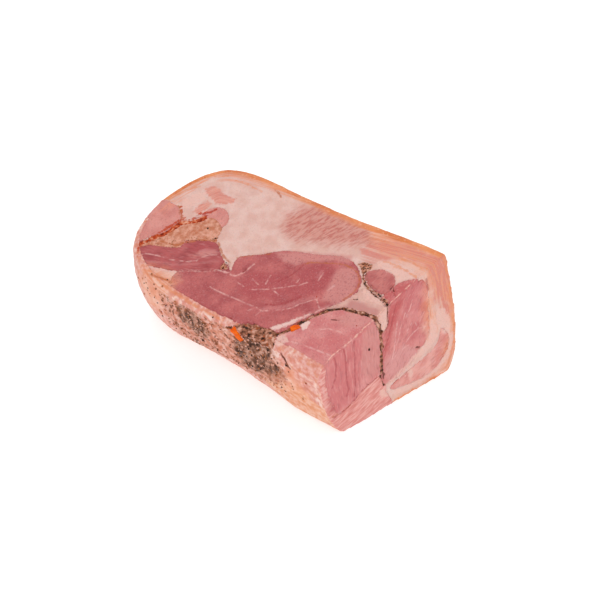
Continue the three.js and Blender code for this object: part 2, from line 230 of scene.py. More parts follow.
def to_patch(p, outline):
    """Distance from flat points to an outline, less than nothing inside it."""
    ring = np.reshape(outline + outline[:2], (-1, 2)).astype(float)
    inside = np.zeros(len(p), bool)
    for (ax, ay), (bx, by) in zip(ring[:-1], ring[1:]):
        if ay == by:
            continue
        crosses = (ay > p[:, 1]) != (by > p[:, 1])
        inside ^= crosses & (p[:, 0] < ax + (bx - ax) * (p[:, 1] - ay) / (by - ay))
    near = to_line(p, ring)
    return np.where(inside, -near, near)


sample = np.random.default_rng(1).uniform(-50, 50, (2000, 3))
print("lumps go from", lumps(sample, 5).min().round(2), "to", lumps(sample, 5).max().round(2))

# %% [markdown]
# ## Marks on the cut faces
#
# Real meat shows more than its muscles: thin veins of connective tissue, slits where muscles part,
# rusty lines where spice stains a seam, pale islands of fat, dark lean. They are drawn here once, in
# millimetres. Slits and small pits are painted dark brown, as painted shade inside them, and a pale line
# along the edge where the two cuts meet is a painted highlight. A line has half its width first and then
# its points. A patch is only the points of its border. On the top the numbers go x, y, x, y, on the cut
# end y, z, y, z, and on the near side a line goes x, y, z and a patch x, z.

# %% Marks on the cut faces
TOP_LINES = {"vein": [
    [0.35, -14.1, -35, -4.5, -34.8, 17.1, -32.3],
    [0.3, 17.1, -32.3, 21, -32.5, 30.1, -26.6, 33.2, -23.3, 35.5, -19.2, 41, -12.6],
    [0.3, 20.6, -32.3, 19.8, -35.8], [0.3, 6.9, -25.5, 15.8, -20, 23.3, -21],
    [0.3, 15.8, -20, 26.9, -11.4, 29.4, -8.1],
    [0.5, -11.6, -23.9, -8.8, -24, -6.4, -23, -4.3, -19, -3.3, -13.1], [0.3, 10.9, -19.4, 9.5, -13.9],
    [0.3, 2.5, -20.3, 7.8, -21.5], [0.3, 40.9, -13.4, 45.7, -16.6], [0.3, 32.7, 0.5, 33.7, -4.4],
    [0.55, 41.9, -6.4, 42.8, -2.6], [0.4, 49.8, 9.4, 53.3, 6.5, 55.8, 3.1],
    [0.35, -64.1, -40.6, -61.7, -37.3, -54.1, -34.5, -46.3, -33.3, -38, -30.1, -32.7, -26.5, -31.9, -23.6,
     -28.8, -20.5, -25.4, -18.8],
    [0.6, -58.4, -46.5, -52.5, -42.2, -40.1, -38.4, -32.6, -33.8, -23.2, -29, -17.4, -25.1, -10.5, -23.8],
    [0.5, 14.1, -44.3, 30.2, -42, 34, -38.7, 37.5, -34.2, 47.3, -16.5, 51.1, -11.7],
    [0.35, 50.9, -11.5, 54, -6.8, 56, -2.3, 55.8, 3.1], [0.3, -5.6, -34.6, -0.1, -34.3],
    [0.25, -2.6, -25.9, 2, -26.1], [0.25, 13.9, -36.1, 15.8, -33.7], [0.25, 24.5, -8.1, 24.8, -10.7],
    [0.35, 53.3, -26.7, 58, -23.4, 63.3, -22, 69.1, -21.7, 72.7, -22.6],
    [0.35, 47, -38.3, 51.6, -37.1, 70.3, -34.4], [0.3, 72.4, -26, 70.7, -30.2],
], "sheen": [
    [1, 20.2, -31.6, 28.9, -25.4, 31.9, -21.9, 34.4, -17.9, 40.3, -11.8],
    [0.7, -61.4, -43.1, -52.7, -38.3, -41.4, -34.3, -32, -28.5, -25.7, -23.5, -21.3, -21.1],
    [0.9, -35.3, -21.5, -32.9, -18.7, -27.5, -17.2], [0.8, 41.6, -25.7, 44.3, -19.8, 50.5, -11.1],
    [0.7, 31.9, -2.6, 31.1, 1.2],
], "seam": [
    [0.35, 36.3, -40.4, 39.6, -35.2, 45.2, -21.6, 51.9, -12.7, 55.2, -11.2],
    [0.3, 55.2, -11.2, 70.3, -8.1, 73.6, -8.2],
    [0.5, 47.3, 15, 50.7, 12.7, 52.4, 8.1, 57.2, 5.2, 63.1, 3.7, 74.4, 1.9],
], "stain": [
    [0.9, -69.3, -33.2, -64.7, -27, -63.2, -23.2, -61.2, -14.5],
    [1.1, -64.2, -23.7, -63, -18.9, -59.7, -9.9],
    [0.6, -67.8, -5.1, -64.2, -7.8, -61.9, -10.4, -58.4, -9.6, -53.1, -6.4, -50, -2.5],
    [0.7, -54.1, -3.2, -50, 0.5, -48.2, 3.3], [0.6, -64.7, -41.2, -69.3, -33.2],
# Dark marks are slits: their dark brown is painted shade inside the slit.
], "dark": [
    [0.35, -5.5, -19.3, -5.2, -17.7], [0.3, 55.2, -18.5, 58.9, -16.7], [0.3, 56.9, -3.8, 58.3, -3.1],
], "redline": [
    [0.4, 19.4, -28.6, 24.2, -26.3, 28.1, -23, 32.6, -16],
    [0.35, 15.6, -14.8, 18.8, -8.7, 19.8, -5.3, 20.5, 0.3], [0.35, -54.8, -4.9, -51, -1, -48.2, 3.3],
    [0.3, -54.3, -6.7, -49.8, -2], [0.4, 70.3, 9.1, 75.2, 7.4],
], "rust": [
    [0.4, 20.4, 0.1, 23.3, 2.9, 35, 8.3, 39.8, 9.8, 44, 10, 48.1, 9.2, 51.9, 6.4, 54.1, 2.8, 54.3, -1.9,
     52.7, -6.9],
    [0.35, -14.7, -14.6, -10.8, -11.1, -3.6, -6, 0, -3.2], [0.7, -69.2, -5.1, -65.3, -7.6, -61.4, -10.1],
    [0.5, -30.5, -12.5, -24.9, -15.6, -20.2, -17.8, -15.8, -18.5],
    [0.6, -50, -45.7, -44.7, -44.6, -38.9, -43.4, -34.7, -43.6],
    [0.5, -60.7, -27.1, -55.2, -26, -49.2, -24.3, -47.4, -21, -40.9, -16.1, -32.3, -12],
    [0.5, -28.2, 28.7, -24.6, 28, -21.9, 26.7], [0.9, -52.3, -49, -51, -48.7],
    [0.5, -45.4, -52.4, -42.5, -53, -38.2, -54.9], [0.8, 28.7, -45.4, 35, -41.2],
    [1, 42.8, -27.7, 41.9, -32.5, 37.4, -40.1],
], "amber": [
    [0.6, 62, 21, 66.8, 22.2, 75.9, 21.4], [0.5, 61.2, 26.4, 68.2, 27.5, 76.9, 26.4],
    [0.5, 55.5, 20.9, 59.7, 22.1, 64.7, 22.4], [0.7, -38.1, -46.2, -30.4, -47, -12.5, -47.5, 6.4, -46.6],
    [0.6, -57.2, -45.2, -50.8, -43.8, -37.1, -43.5], [0.5, -75.6, -0.7, -72.5, 5.6, -68.1, 10.6],
    [0.45, -76.7, 5, -73.1, 12.3, -66.9, 18.7, -59.1, 23.5], [0.45, -52.4, 23.1, -42.8, 24.2, -33.8, 24.3],
# A painted highlight: a pale line along the edge where the top and the end cut meet.
], "crease": [
    [0.28, 80.5, 36.6, 78.8, 30.9, 76.8, 20.8, 74.3, -0.1, 74.3, -5.1, 72.5, -22.7, 70.1, -34.5,
     70.6, -39.1],
]}
END_LINES = {"seam": [
    [0.3, -8.4, 59.2, -6.8, 54.7, -4.5, 50.5, -3.3, 46.2, -3.3, 29.3],
    [0.5, -3.3, 28.1, -3, 24.1, -3.7, 19.3, -2.7, 15.5], [0.3, 0.9, 63, 1.3, 58.6, 0.2, 53.7],
], "vein": [
    [0.35, 12.5, 54, 11.3, 50.1], [0.35, 6.8, 50.6, 4.8, 34, 3.3, 28.4],
    [0.35, 21.8, 39.1, 18.1, 38, 14.9, 36.3, 13.3, 34.7], [0.3, 21.8, 39.1, 29.4, 37.1],
    [0.3, 17.1, 44.7, 13.9, 41.3], [0.3, 21.8, 39.1, 19.5, 44.2], [0.3, 17.2, 58.8, 15.9, 54.6, 13.2, 51],
    [0.3, 9.7, 47.1, 8.4, 41, 6.3, 36.4], [0.3, 25.7, 47.4, 23, 43.7, 21.6, 40],
    [0.3, 2.2, 27.7, 7.7, 31.2, 15.4, 32.4], [0.3, 16.2, 17.8, 23.3, 18, 37.7, 20.3],
    [0.3, 20.5, 11.6, 29.2, 12.3, 36.4, 13.8], [0.3, 9.1, 17.6, 14.8, 10.7, 18.4, 4.8],
# Dark marks are slits: their dark brown is painted shade inside the slit.
], "dark": [
    [0.55, 20.8, 27.3, 22.8, 26.5], [0.3, 1.1, 62.9, 1.1, 52.6, -0.5, 49.7, -2.2, 48.7],
], "redline": [
    [0.6, 26.8, 67.1, 28.3, 59.7], [0.4, -34.7, 50.3, -33.7, 44, -34, 36.7, -36.3, 31.7],
    [0.4, -28.7, 51.5, -27.3, 45.6, -27, 31.8, -25.9, 25.5, -27.2, 21.7],
    [0.4, -21.9, 52.9, -21.3, 24.3, -22.4, 19.1],
    [0.35, -35.9, 12.5, -28.6, 13.5, -17.7, 19.5, -13.2, 21.3, -8.2, 22.6, -4.4, 22.9],
    [0.35, 7, 61.9, -1.9, 37.4],
], "rust": [
    [0.4, -36.6, 13.5, -31.9, 13.5, -25.2, 14.9], [0.45, 42.9, 19, 38.7, 10],
], "fat": [
    [1.6, 45.7, 23.5, 45.2, 15.9, 42.4, 10, 35.9, 6.2, 26.4, 4.2, 15.6, 5, 6.3, 6.4],
]}
SIDE_LINES = {"white": [
    [0.9, 69.4, -42.9, 26.9, 71.1, -40.8, 18.7], [0.7, -6.3, -47.5, 44.1, 0.3, -48.2, 42.5],
    [0.7, 7.4, -47.8, 41.5, 10.5, -48, 41.3, 13.1, -47, 39.6], [0.5, 40, -45.1, 38.4, 47.6, -44.5, 35.2],
], "vein": [
    [0.5, 71.2, -44, 42.1, 72.2, -41.3, 28.8],
    [0.5, 54.8, -42.7, 45.3, 60.5, -43.1, 44.9, 66, -44, 42.9, 70.4, -44.5, 40],
    [0.6, 33.4, -45.5, 33, 38.6, -45.2, 33.8, 45.7, -44.3, 33.4],
    [0.6, -43.5, -47.8, 34.5, -40.3, -47.5, 30.6, -38.6, -46.5, 25.6],
    [0.4, -33.6, -48.8, 38.1, -30.2, -48.2, 30.3, -25.7, -45.7, 22.6],
# Dark marks are slits: their dark brown is painted shade inside the slit.
], "dark": [
    [0.8, 49.1, -44.7, 38.1, 51.2, -44.5, 37], [0.5, 45.2, -44, 43.2, 48.4, -44.6, 40.9, 50.5, -44.7, 38.3],
], "rust": [
    [0.9, 61.8, -44.1, 33.5, 62.3, -44.1, 33.4], [1, -41.7, -46.3, 25.6, -42, -45.4, 22.9],
    [0.6, -49.9, -40.1, 12.7, -44.5, -38.7, 8.9, -32.8, -40.5, 11.7],
]}
TOP_PATCHES = {"pale": [
    [1, -2, 13, 5, 39, 16, 41, 12, 31, 8, 20, 1, 17, -3, 10, -4],
    [43, -12, 37, 5, 40, 9, 45, 10, 51, 7, 54, 2, 55, -4, 52, -10],
    [-37, -25, -35, -20, -29, -17, -26, -18, -30, -22], [56, -11, 56, -4, 73, -2, 74, -6],
    [56, -16, 61, -11, 74, -8, 73, -15, 60, -19],
], "salmon": [
    [-64.2, 10.6, -61.2, 14.1, -56, 14.8, -52.2, 13, -43.5, 13.7, -42.6, 11, -46.8, 7.5, -50.5, 6.2,
     -58.6, 7.7],
    [-59.5, 0.8, -56.9, 4.7, -53.1, 4.8, -53.5, 0.2, -55.8, -4, -58.6, -3.8],
], "deep": [
    [32, -18, 25, -20, 13, -29, 6, -30, -1, -27, -2, -23, 0, -18, 3, -14, 8, -12, 20, -11, 27, -9, 35, -12],
    [27, -14, 21, -5, 22, 0, 31, 6, 37, 5, 39, -3, 39, -10, 35, -15],
    [-43, -24, -44, -20, -39, -16, -32, -14, -28, -16, -34, -19, -37, -23],
    [55, -40, 59, -37, 68, -35, 71, -34, 75, -7, 70, -20, 62, -24, 52, -36],
    [70, 13, 77, 20, 77, 16, 73, 2, 69, 4],
], "tan": [
    [34.9, 35.3, 47.6, 38.5, 62.7, 40.2, 91.2, 40.4, 93, 30.5, 88.7, 21.3, 79.6, 23.1, 69.6, 25.8,
     61.4, 24.8, 53.4, 23.2, 46, 24.1, 39.1, 28.9],
    [-64.2, -44.6, -52.7, -42, -39, -38.8, -31.3, -41.7, -31.9, -48.5, -39.6, -54.2, -47.4, -55.7],
], "mottle": [
    [-1, 9, -8, 12, -10, 19, -7, 26, 1, 31, 12, 33, 50, 33, 49, 28, 39, 24, 33, 20, 26, 16, 15, 13, 7, 9],
], "smoky": [
    [-84, -12, -86, 0, -82, 12, -73, 23, -60, 34, -46, 37, -34, 35, -35, 25, -49, 23, -64, 18, -74, -14],
    [-41, 32, -26, 38, 13, 43, 14, 38, -2, 32, -20, 28, -33, 25],
], "streaky": [
    [47, 16, 40, 21, 41, 26, 46, 31, 54, 34, 83, 37, 87, 28, 62, 29, 56, 22],
], "fat": [
    [52.8, 19.4, 59.1, 22.8, 66.1, 23.9, 73.3, 23, 77, 21.6, 69.3, 14, 63.9, 17.2, 58.8, 17.1, 54.4, 16.1],
    [57, 1.7, 57.7, 5.5, 69.6, 4.6, 73.7, 2.9, 74.4, 0.6, 63.3, -0.9],
    [-69.9, -0.8, -66.6, 6, -61.7, 8.9, -58.6, 5.9, -61.2, 0.7, -62.7, -3.9, -66.3, -5.1],
    [32.3, -41.3, 33.8, -38.5, 37.4, -36.5, 42.1, -36.4, 45.4, -39.2, 44.4, -42.4, 38.7, -43.7],
], "white": [
    [45, -29.4, 44.8, -25.5, 47, -24.9, 48.5, -28.8, 47.9, -31.8],
    [25.7, -43.1, 31.5, -37.6, 35.9, -32.1, 43.5, -21.1, 44.6, -21.6, 41.7, -26.6, 39, -32.4, 35.3, -37.2,
     28.6, -43.2],
], "paste": [
    [44.2, 14, 46.7, 15.7, 50.9, 16.6, 52.8, 15.2, 51.8, 12.2, 53.6, 9.4, 57.5, 6.8, 72.3, 3.7, 75.3, 2.1,
     73.8, 1.2, 68.6, 2.7, 58.7, 4.3, 53.6, 6.7, 50.1, 10.3],
    [-17.4, -24.4, -19, -22, -18.2, -19.8, -15.4, -19.7, -14.5, -22.1],
# Dark patches are small pits: their dark brown is painted shade inside the pit.
], "dark": [
    [68.8, 9.6, 69.3, 12.3, 71.9, 9.6],
]}
END_PATCHES = {"deep": [
    [-37, 50, -20, 54, -19, 45, -20, 21, -25, 16, -33, 16, -38, 17, -39, 27, -39, 41],
    [2, 61, 8, 63, 12, 63, -2, 32, -2, 44],
], "pale": [
    [-2, 30, 4, 33, 12, 34, 20, 28, 21, 22, 1, 16, -2, 21],
    [-16, 55, -10, 57, -6, 52, -5, 26, -12, 24, -17, 31, -17, 44],
], "fat": [
    [30.8, 41.1, 34.5, 34.2, 35.4, 26.7, 30.4, 22.8, 24, 20.9, 16.9, 19.4, 10.5, 16.3, 2.1, 14.2,
     -0.6, 15.7, 15.5, 21.4, 21.8, 25.3, 28.2, 27.8],
    [14.1, 17.6, 16.9, 17.4, 18.4, 12.8, 17, 8.2, 14.8, 12],
    [35, 44.7, 40, 42.9, 44.6, 34.3, 44.9, 26.5, 39.8, 26.5, 34.5, 36.8],
    [-5.1, 61.1, 0.9, 62.4, 1.1, 54.5, -1.1, 50.1, -3.2, 49.9, -4.8, 54.3],
    [-5.5, 13.2, -2.1, 12.6, 0, 7.5, -4.2, 7.8],
], "tan": [
    [26.9, 60.3, 25.2, 77.9, 33.4, 83.7, 44.7, 78.7, 49.4, 24.2, 49, 14.6, 44.8, 6.8, 40.1, 14.6,
     44.1, 26.9, 41.5, 43.5, 34.1, 50.8],
    [25.5, 61, 29.7, 60.2, 32.8, 48.3, 34.6, 31.6, 28.9, 28.1, 25.9, 39.1],
    [48.2, 15, 49.3, 4.5, 45, -1.3, 36.1, -2.7, 26.5, -2.2, 30.8, 2.2, 38.2, 3.6, 43.2, 9, 45.2, 15.9],
], "streaky": [
    [30, 62, 28, 77, 36, 80, 43, 73, 46, 38, 42, 33, 37, 46, 32, 52],
# Dark patches are small pits: their dark brown is painted shade inside the pit.
], "dark": [
    [-4.5, 24.2, -2.7, 24.7, -1.3, 22.2, -1.7, 19.2, -3.7, 19, -4.9, 21.9],
]}
SIDE_PATCHES = {"white": [
    [37.1, 45.5, 39.4, 47.5, 43.4, 48.1, 45.5, 46.1, 43.2, 37.5, 39.3, 38.1],
], "rind": [
    [28, 15, 43, 22, 54, 25, 63, 24, 73, 20, 75, 4, 71, 7, 60, 3, 48, 2, 40, 7, 31, 12],
], "spice": [
    [-25.2, 38.5, -19.5, 40.9, -12.8, 40.5, -5.8, 38.2, -3.3, 33.5, -9.3, 25.5, -15.6, 24.1, -19.7, 27.5,
     -24, 32.2],
    [13.8, 33.9, 19.5, 41.7, 24.7, 45.3, 29.6, 46.1, 35.9, 45.5, 39, 42.2, 38, 37.4, 42, 33.9, 45.1, 31,
     41.3, 26.7, 34.2, 25.2, 26, 20.5, 19.5, 19.5, 15.2, 23.9],
], "freckle": [
    [-38.2, 40.3, -28.6, 42, -15.6, 43.2, 0.1, 43.4, 13.3, 43.8, 25.6, 45.5, 37.9, 44.4, 45.2, 37.9,
     49.2, 32.1, 45.6, 17.5, 33.2, 13.6, 17.4, 14.7, 5.4, 16.7, -9.6, 12.4, -25.3, 8.2, -30.1, 15.3,
     -35.6, 24.8],
], "tan": [
    [-62.3, 38.8, -47.5, 43.2, -34.8, 43.6, -34.6, 37.5, -43, 23.5, -51.6, 22, -56.4, 27.7],
    [47.7, 36.7, 53.1, 37.1, 57.8, 30.4, 63.6, 25.3, 59.3, 17.7, 50.9, 16.6, 45.2, 20.7],
], "paste": [
    [14.5, 39, 18.4, 44.3, 24, 45.8, 31.6, 45.7, 38.2, 46.1, 39.5, 42.3, 37.4, 36.4, 47.1, 30.8, 45.1, 24.3,
     38.1, 21.5, 28, 20.3, 17, 29.2],
]}
print("lines on the top:", sum(len(lines) for lines in TOP_LINES.values()))

# %% [markdown]
# ## How far is each point from a mark
#
# Every kind of mark becomes a number on the points of a mesh: the distance to the nearest line or patch
# of that kind, less than nothing inside it. A patch counts only on its own face. The distance to the
# outer wall is kept too, because rind and the layers under it follow the wall.

# %% How far is each point from a mark
from mathutils.kdtree import KDTree

FAR = 30.0


def draw(p, n):
    """Distance of each point to every kind of mark, and to the near side and the end."""
    at_top = (n @ top_normal > 0.5) & (np.abs(off_top(p)) < 2.5)
    at_end = (n @ end_normal > 0.5) & (np.abs(off_end(p)) < 2.5)
    at_side = (n[:, 1] < -0.2) & (p[:, 1] < -22) & ~at_end & ~at_top
    on_cuts = at_top | at_end
    fields = {}

    def keep(kind, here, distance):
        field = fields.setdefault(kind, np.full(len(p), FAR))
        field[here] = np.minimum(field[here], distance)

    for table, place, here in (
        (TOP_LINES, on_top, on_cuts),
        (END_LINES, on_end, on_cuts),
        (SIDE_LINES, on_side, at_side | on_cuts),
    ):
        spot = p[here]
        for kind, lines in table.items():
            for half_width, *line in lines:
                keep(kind, here, to_line(spot, place(line)) - half_width)
    for table, axes, here in (
        (TOP_PATCHES, (0, 1), at_top),
        (END_PATCHES, (1, 2), at_end),
        (SIDE_PATCHES, (0, 2), at_side),
    ):
        spot = p[here][:, axes]
        for kind, outlines in table.items():
            for outline in outlines:
                keep(kind, here, to_patch(spot, outline))
    fields["flank"] = np.where(at_side, -2.0, 2.0)
    fields["cut_end"] = np.where(at_end, -2.0, 2.0)
    return fields


def below_cuts(p):
    """How deep points lie under the nearer of the two cuts."""
    return np.minimum(-off_top(p), -off_end(p))


def tree_of(points):
    """A tree that finds the nearest of many points."""
    tree = KDTree(len(points))
    for i, point in enumerate(points.tolist()):
        tree.insert(point, i)
    tree.balance()
    return tree


def to_points(p, others):
    """Distance of points to the nearest of some others."""
    tree = tree_of(others)
    return np.array([tree.find(point)[2] for point in p.tolist()])


def rim_distance(p, n, is_open):
    """Distance of points on the cuts to the joint's outer wall, less than nothing on the wall."""
    wall = is_open & (below_cuts(p) > 1.5)
    near = np.where(wall, -2.0, FAR)
    if wall.any():
        cut = is_open & ~wall
        near[cut] = to_points(p[cut], p[wall])
    return np.minimum(near, FAR)


print("kinds of marks:", *draw(np.zeros((1, 3)), np.ones((1, 3))))

# %% [markdown]
# ## Growing the meat
#
# The CAD pieces have flat sides and hair-thin gaps, as if cut from card. Cooked meat is soft: each
# muscle swells against the next, and only a shallow groove shows where two meet. A voxel remesh of a
# copy gives small, even faces and rounds every border by about its own grain. Then each point is moved
# along its normal: hidden faces swell into the next piece, which closes the gaps, and open faces get
# the lumps of the flesh. Beside a seam they rise a little more, so that the groove stays shallow.
# Nothing may swell past the box of the CAD model, so the meat rests flat on the table. A ray from each
# point tells open faces from hidden ones, which need no detail and are thinned out first.

# %% Grow a piece of meat from its solid
from mathutils.bvhtree import BVHTree

every_corner = []
every_face = []
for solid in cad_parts.values():
    shift = len(every_corner)
    every_corner += [v.co.copy() for v in solid.data.vertices]
    every_face += [[shift + i for i in face.vertices] for face in solid.data.polygons]
joint_tree = BVHTree.FromPolygons(every_corner, every_face)
SWELL = 0.14
HIDDEN_SWELL = 0.55
SEAM_LIFT = 0.45
BOX_LOW = np.array(cad_box[0]) / MM
BOX_HIGH = np.array(cad_box[1]) / MM


def read_points(mesh, name="co"):
    """Places or normals of a mesh's points, as rows of three."""
    source = mesh.vertices if name == "co" else mesh.vertex_normals
    flat = np.empty(len(source) * 3, np.float32)
    source.foreach_get("co" if name == "co" else "vector", flat)
    return flat.reshape(-1, 3).astype(float)


def is_free(start, normal):
    """Whether a ray from a point meets no outer face of a solid. It may just leave its own one."""
    start = Vector(start)
    normal = Vector(normal)
    for _ in range(3):
        hit, facing, _, _ = joint_tree.ray_cast(start, normal, 30 * MM)
        if hit is None:
            return True
        if facing.dot(normal) < 0 or (hit - start).length > 1.5 * MM:
            return False
        start = hit + normal * 0.01 * MM
    return True


def open_faces(points, normals):
    """Whether each point, in metres, lies in the open and not against the next piece."""
    return np.array([is_free(p, n) for p, n in zip(points.tolist(), normals.tolist())])


def settle(piece):
    """Turns a piece's modifiers into its mesh."""
    graph = bpy.context.evaluated_depsgraph_get()
    mesh = bpy.data.meshes.new_from_object(piece.evaluated_get(graph))
    piece.modifiers.clear()
    piece.data = mesh
    return mesh


def grow(node, grain, relief):
    """Copy of a node's solid with faces of a grain in millimetres, with the relief's lumps on it."""
    piece = show(node + "_flesh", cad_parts[node].data.copy())
    remesh = piece.modifiers.new("even faces", "REMESH")
    remesh.mode = "VOXEL"
    remesh.voxel_size = grain * MM
    soften = piece.modifiers.new("soften", "SMOOTH")
    soften.factor = 0.5
    mesh = settle(piece)
    hidden = np.flatnonzero(~open_faces(read_points(mesh), read_points(mesh, "normal")))
    piece.vertex_groups.new(name="hidden").add(hidden.tolist(), 1.0, "REPLACE")
    thin = piece.modifiers.new("thin out", "DECIMATE")
    thin.vertex_group = "hidden"
    thin.ratio = 1 - 0.9 * len(hidden) / len(mesh.vertices)
    mesh = settle(piece)
    p = read_points(mesh)
    n = read_points(mesh, "normal")
    is_open = open_faces(p, n)
    p = p / MM
    marks = draw(p, n)
    marks["rim"] = rim_distance(p, n, is_open)
    lift = SEAM_LIFT * np.exp(-(to_points(p, p[~is_open]) / 0.7) ** 2)
    move = np.where(is_open, SWELL + lift + relief(p, n, marks), HIDDEN_SWELL)
    p = np.clip(p + n * move[:, None], BOX_LOW, BOX_HIGH)
    mesh.vertices.foreach_set("co", (p * MM).astype(np.float32).ravel())
    for kind, distance in marks.items():
        kept = mesh.attributes.new(kind, "FLOAT", "POINT")
        kept.data.foreach_set("value", distance.astype(np.float32))
    mesh.shade_smooth()
    mesh.materials.clear()
    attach(piece, "root")
    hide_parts(node)
    print(f"{node}: {len(mesh.polygons)} faces, {is_open.mean():.0%} open")
    return piece

# %% [markdown]
# ## Relief of the flesh
#
# A knife leaves muscle almost flat, but the cut settles afterwards: lean swells a little, slits open,
# the filling is crumbly and lies lower, and the rind is wrinkled and pitted. Each of those is a move of
# the points along their normals, worked out from lumps of a few sizes and from the marks.

# %% Relief of the flesh
def groove(distance, width, depth):
    """A soft groove along a mark."""
    return -depth * np.exp(-np.clip(distance, 0, None) ** 2 / width ** 2)


def flesh(swell=0.3, fine=0.08):
    """Relief of lean or fat with a swell and a fineness in millimetres."""
    def relief(p, n, marks):
        move = swell * lumps(p, 15, 1) + 0.5 * swell * lumps(p, 6, 2) + fine * lumps(p, 1.7, 3)
        move += groove(marks["dark"], 0.5, 0.6) + groove(marks["redline"], 0.5, 0.1)
        move += groove(marks["rust"], 0.6, 0.12) - groove(marks["vein"], 0.4, 0.06)
        crumbs = 0.5 * lumps(p, 1.6, 4) + 0.3 * lumps(p, 0.9, 5)
        return move + np.where(marks["paste"] < 0.6, crumbs - 0.5, 0)
    return relief


def crumbly(p, n, marks):
    """Relief of the spice crust: crags of a few sizes, lower round the carrots."""
    crags = 0.7 * lumps(p, 4.2, 11) + 0.5 * lumps(p, 2.1, 12) + 0.3 * lumps(p, 1.1, 13)
    return crags + np.where(marks["spice"] < 1, 0.4 * lumps(p, 1.6, 14), 0) - 0.15


def carrot_side(p, n, marks):
    """A carrot stick stands a little proud of the filling."""
    return 0.35 + 0.1 * lumps(p, 1.5, 31)


def skin(p, n, marks):
    """Relief of the rind and of the rolled side: long waves, wrinkles and small pits on the wall."""
    on_wall = np.clip((below_cuts(p) - 0.5) / 3, 0, 1)
    wrinkles = 0.3 * lumps(p * (0.35, 1, 1), 4.5, 21) + 0.18 * lumps(p, 2.0, 22)
    pits = -0.3 * np.clip(lumps(p, 1.3, 23) - 0.45, 0, None)
    rough = np.where(marks["freckle"] < 1, 0.35 * lumps(p, 1.8, 24) + 0.2 * lumps(p, 1.0, 25), 0)
    return flesh(0.35, 0.06)(p, n, marks) + on_wall * (wrinkles + pits + rough)


print("a slit is", groove(np.zeros(1), 0.5, 0.7)[0], "mm deep")

# %% [markdown]
# ## Mixing colours in nodes
#
# A material is a small net of nodes. The helpers below make what meat needs: a colour typed as it is
# measured on the real thing, noise of a size in millimetres, noise drawn out along the grain, and a
# blend of two colours by a mask. The mask of a drawn mark comes from its distance: noise makes its
# border wander, and a smooth step gives it a soft or a crisp edge. The net in work is kept in `net`.

# %% Node helpers
WASHED_OUT = (1.03, 1.1, 1.1)
net = None
shared_noise = {}


def tone(red, green, blue):
    """A screen colour from 0 to 255 as the linear colour that light adds up in, a little deeper."""
    linear = [((c / 255 + 0.055) / 1.055) ** 2.4 for c in (red, green, blue)]
    return (*(c / gain for c, gain in zip(linear, WASHED_OUT)), 1)


def add(kind, sockets=None, **settings):
    """A node with its settings, and its sockets set to values or joined to other sockets."""
    made = net.nodes.new("ShaderNode" + kind)
    for key, value in settings.items():
        setattr(made, key, value)
    for key, value in (sockets or {}).items():
        if isinstance(value, bpy.types.NodeSocket):
            net.links.new(value, made.inputs[key])
        else:
            made.inputs[key].default_value = value
    return made


def maths(operation, a, b):
    """Sum on two values."""
    return add("Math", {0: a, 1: b}, operation=operation).outputs[0]


def place():
    """The point that is being coloured, in metres."""
    return add("TexCoord").outputs["Object"]


def noise(size, vector=None, detail=2.0):
    """Noise with lumps of a size in millimetres, from 0 to 1."""
    sockets = {"Vector": vector or place(), "Scale": 1000 / size, "Detail": detail}
    return add("TexNoise", sockets).outputs["Fac"]


def turned(along, stretch):
    """The place, turned so that one direction comes first, and shortened along it."""
    along = Vector(along).normalized()
    side = along.orthogonal().normalized()
    parts = []
    for direction in (along / stretch, side, along.cross(side)):
        dot = add("VectorMath", {0: place(), 1: direction}, operation="DOT_PRODUCT")
        parts.append(dot.outputs["Value"])
    return add("CombineXYZ", {"X": parts[0], "Y": parts[1], "Z": parts[2]}).outputs[0]


def grain(along, size, stretch=6.0, detail=2.0):
    """Noise drawn out along a direction, as muscle fibres are."""
    return noise(size, turned(along, stretch), detail)


def step(value, low, high):
    """0 at low, 1 at high, and smooth between. Low may be the greater one."""
    sockets = {"Value": value, "From Min": min(low, high), "From Max": max(low, high)}
    if low > high:
        sockets.update({"To Min": 1.0, "To Max": 0.0})
    return add("MapRange", sockets, interpolation_type="SMOOTHSTEP").outputs[0]


def part(mask, strength):
    """A mask made weaker by a number, or kept only where another mask is."""
    return maths("MULTIPLY", mask, strength)


def blend(under, over, mask, strength=1):
    """A screen colour or a joined one over another colour, by a mask."""
    if isinstance(over, tuple):
        over = tone(*over)
    if strength != 1:
        mask = part(mask, strength)
    return add("Mix", {0: mask, 6: under, 7: over}, data_type="RGBA").outputs[2]


def tones(value, *stops):
    """Colours along a value: stops are a position and a screen colour."""
    ramp = add("ValToRGB", {"Fac": value})
    band = ramp.color_ramp
    while len(band.elements) < len(stops):
        band.elements.new(0.5)
    for element, (position, *colour) in zip(band.elements, stops):
        element.position = position
        element.color = tone(*colour)
    return ramp.outputs["Color"]


def kept_distance(kind):
    """Distance to a kind of mark, in millimetres, as it was kept on the points."""
    return add("Attribute", attribute_name=kind).outputs["Fac"]


def wall_layers(size=1.5):
    """Noise in thin layers that run along the outer wall."""
    rim = part(kept_distance("rim"), MM)
    slow = add("VectorMath", {0: place(), 3: 0.12}, operation="SCALE").outputs[0]
    inward = add("CombineXYZ", {"X": rim}).outputs[0]
    return noise(size, add("VectorMath", {0: slow, 1: inward}, operation="ADD").outputs[0], 3)


def mark_mask(kind, edge=0.3, wander=0.6, size=2.0):
    """Mask of a drawn mark, with an edge and a wandering border in millimetres."""
    if size not in shared_noise:
        shared_noise[size] = maths("SUBTRACT", noise(size), 0.5)
    shake = part(shared_noise[size], 3 * wander)
    return step(maths("ADD", kept_distance(kind), shake), edge, -edge)


